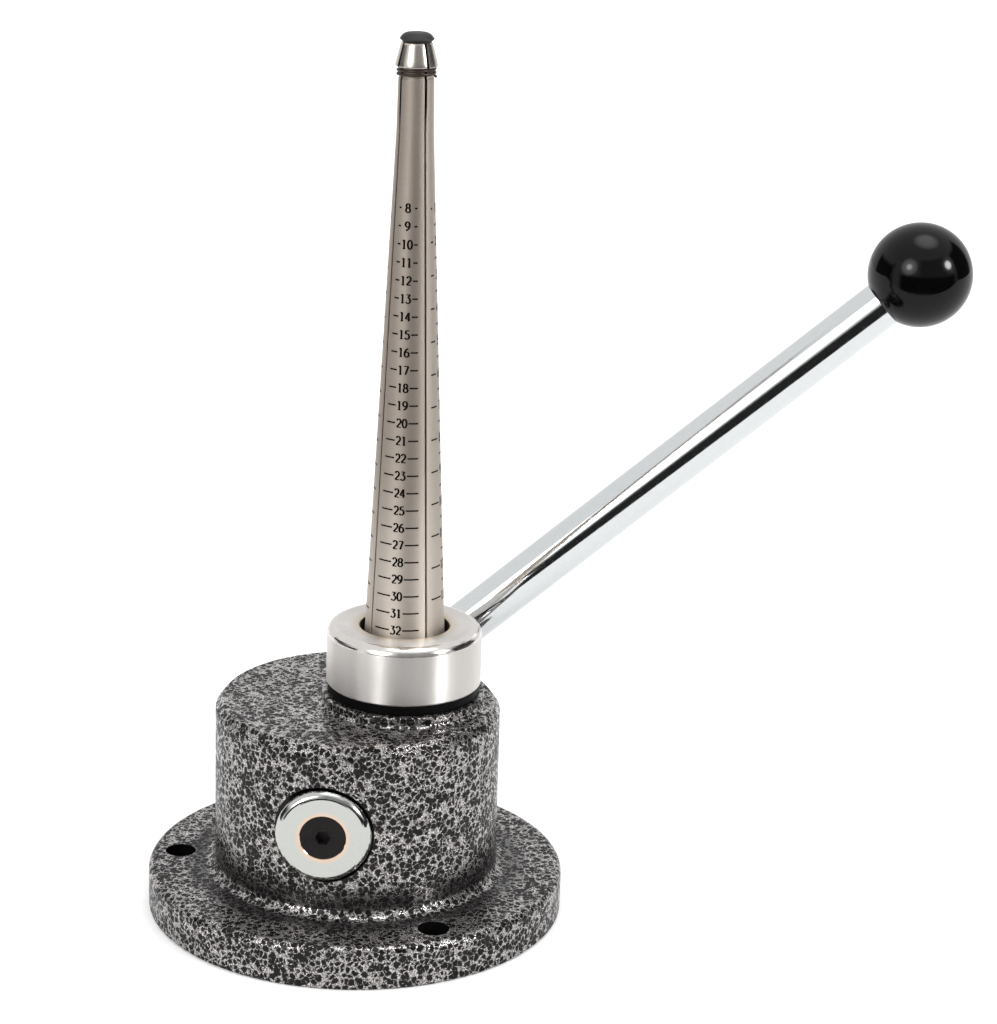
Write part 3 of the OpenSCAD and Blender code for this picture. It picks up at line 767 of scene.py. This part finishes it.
back = Scale(HEADINGS["back"])    # inside diameters, with half millimetres
for diameter in range(12, 23):
    z = TAPER_Z[0] + (diameter / 2 - TAPER_R[0]) / TAPER_SLOPE
    back.row(z, str(diameter), row_edge(z))
    back.dash(z - HALF_MM_R / TAPER_SLOPE, -HALF_DASH, HALF_DASH)
back.piece("scale_back", "segment_back")

left = Scale(HEADINGS["left"])    # inside girths
for girth in range(40, 73, 2):
    z = TAPER_Z[0] + (girth / math.tau - TAPER_R[0]) / TAPER_SLOPE
    left.row(z, str(girth), row_edge(z))
left.piece("scale_left", "segment_left")


# ------------------------------------------------------------------ wire and spring ring
# Both are closed round the segments and give way as these spread. Each is cut at the saw cuts into arcs
# that ride the segments, and a thinner tongue on each arc bridges the gap to the next one.
WIRE_R, WIRE_PITCH, WIRE_TURNS, WIRE_PATH_R = 0.39, 1.1, 2, 5.23
WIRE_START, WIRE_Z = 22.0, 251.56 # heading of both ends, height of the lower one
WIRE_TAIL = 1.5                   # length of the loose ends
WIRE_SWELL, WIRE_SAG = 0.04, 0.03 # unevenness of the turns, outwards and downwards
TAIL_DROOP = 0.06                 # drop of a loose end 1 mm from the last turn
WIRE_PER_TURN, WIRE_TAIL_N = 48, 6
SPRING_R, SPRING_START, SPRING_PER_TURN = 0.5, 37.0, 96
SPRING_RUN = 0.05                 # gap between the spring ring and its groove
SPRING_PATH_R = taper_r(RING_Z) - RING_GROOVE + SPRING_R + SPRING_RUN
TUBE_SIDES = 10
TONGUE_STEPS, TONGUE_SHARE = 2, 0.68                # length in steps of the line, share of the radius


def segment_at(heading):
    """Name of the segment at a heading in degrees."""
    return next(side for side, middle in HEADINGS.items()
                if abs(math.remainder(heading - middle, 360)) < HALF_QUARTER)


def make_arcs(name, node, line, headings, radius, owned):
    """Cuts a tube along a line into arcs, one piece a segment; only the first owned steps are drawn."""

    def frame_at(i):
        way = (line[min(i + 1, len(line) - 1)] - line[max(i - 1, 0)]).normalized()
        across = way.cross(Vector((0, 0, 1))).normalized()
        return way, across, across.cross(way)

    def ring(i, middle, size):
        _, across, up = frame_at(i)
        turns = (math.tau * k / TUBE_SIDES for k in range(TUBE_SIDES))
        return [middle + size * (math.cos(a) * across + math.sin(a) * up) for a in turns]

    owners = [segment_at((headings[i] + headings[i + 1]) / 2) for i in range(owned)]
    points = {side: [] for side in HEADINGS}
    faces = {side: [] for side in HEADINGS}
    first = 0
    for i in range(1, owned + 1):
        if i < owned and owners[i] == owners[first]:
            continue
        side = owners[first]
        rings = [ring(k, line[k], radius) for k in range(first, i + 1)]
        if i + TONGUE_STEPS < len(line):
            # Halfway between the line and its tangent, so that it stays in the next arc at every pose.
            way, _, _ = frame_at(i)
            for k in range(TONGUE_STEPS + 1):
                reach = (line[i + k] - line[i]).length
                middle = (line[i + k] + line[i] + way * reach) / 2
                rings.append(ring(i + k, middle, radius * TONGUE_SHARE))
        base = len(points[side])
        points[side] += [p for loop in rings for p in loop]
        faces[side] += [tuple(base + k for k in face) for face in rings_to_faces(len(rings), TUBE_SIDES)]
        first = i
    for side in HEADINGS:
        piece = add_piece(f"{name}_{side}", points[side], faces[side], "iron_wire", "segment_" + side,
                          50)
        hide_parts(node)


def make_wire():
    """Two turns of dark wire with two loose ends, a little uneven as bound by hand."""

    def on_helix(t):
        a = math.radians(WIRE_START) + math.tau * t
        r = WIRE_PATH_R + WIRE_SWELL * math.sin(5 * a + 1.0) ** 2
        z = WIRE_Z + WIRE_PITCH * t - WIRE_SAG * math.sin(3 * a) ** 2
        return Vector((AXIS_X + r * math.cos(a), r * math.sin(a), z))

    def on_tail(t, s):
        a = math.radians(WIRE_START) + math.tau * t
        return on_helix(t) + Vector((-math.sin(a) * s, math.cos(a) * s, -TAIL_DROOP * s * s))

    reach = [WIRE_TAIL * k / WIRE_TAIL_N for k in range(1, WIRE_TAIL_N + 1)]
    turns = [i / WIRE_PER_TURN for i in range(WIRE_PER_TURN * WIRE_TURNS + 1)]
    line = [on_tail(0, -s) for s in reversed(reach)]
    line += [on_helix(t) for t in turns]
    line += [on_tail(WIRE_TURNS, s) for s in reach]
    headings = [WIRE_START + 360 * t for t in [0] * WIRE_TAIL_N + turns + [WIRE_TURNS] * WIRE_TAIL_N]
    make_arcs("wire_wound", "binding_wire", line, headings, WIRE_R, len(line) - 1)


def make_spring_ring():
    """Closed ring in the groove at the segments' feet, inside the collar."""
    headings = [SPRING_START + 360 * i / SPRING_PER_TURN for i in range(SPRING_PER_TURN + TONGUE_STEPS + 2)]
    line = [Vector((AXIS_X + SPRING_PATH_R * math.cos(math.radians(a)),
                    SPRING_PATH_R * math.sin(math.radians(a)), RING_Z)) for a in headings]
    make_arcs("spring_ring", "foot_spring_ring", line, headings, SPRING_R, SPRING_PER_TURN)


make_wire()
make_spring_ring()
